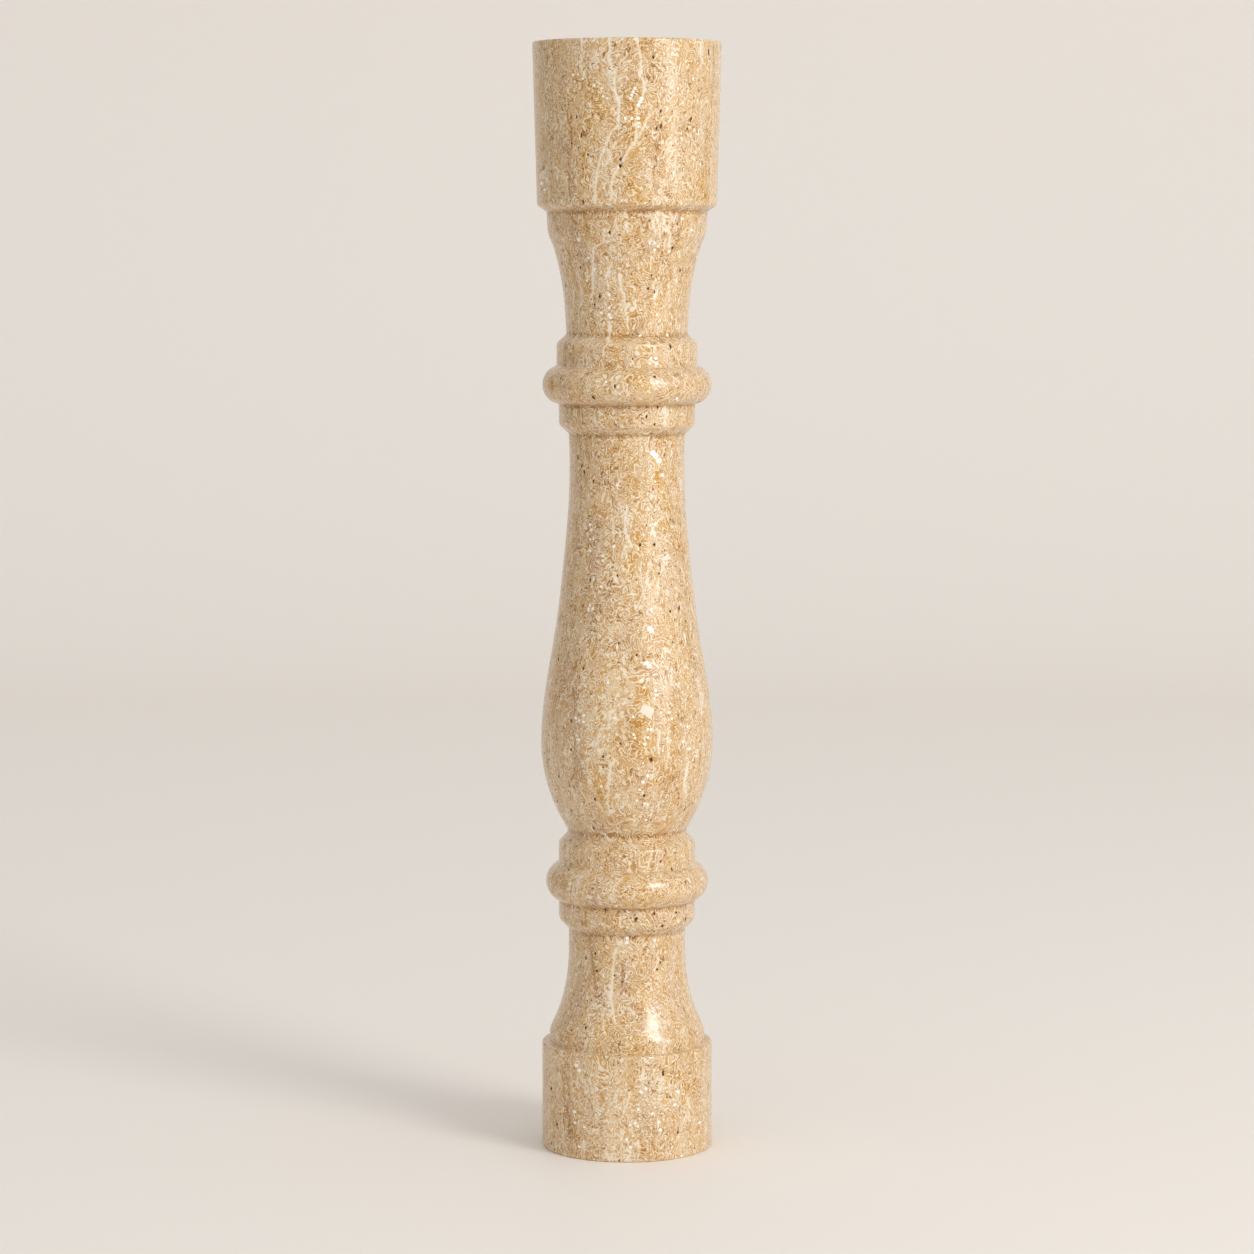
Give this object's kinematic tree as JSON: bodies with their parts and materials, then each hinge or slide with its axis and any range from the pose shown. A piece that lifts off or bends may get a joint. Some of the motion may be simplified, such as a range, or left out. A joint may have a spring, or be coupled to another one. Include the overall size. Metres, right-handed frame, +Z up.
{
  "type": "stone baluster",
  "caption": "Round turned stone baluster: head drum, hollow neck, two torus mouldings, vase shaft, flared foot and round base block.",
  "frame": {"origin": "centre of the bottom bed, where the base block stands", "axes": "+Z up the turning axis, from the base block to the head drum; the piece is round, and +X is the picture's right"},
  "size_m": [0.1186, 0.1186, 0.7],
  "materials": {
    "travertine": "polished warm tan travertine with upright cream and brown bedding, small dark pits and white shell flecks"
  },
  "bodies": {
    "root": {"baluster": "travertine"}
  },
  "joints": []
}
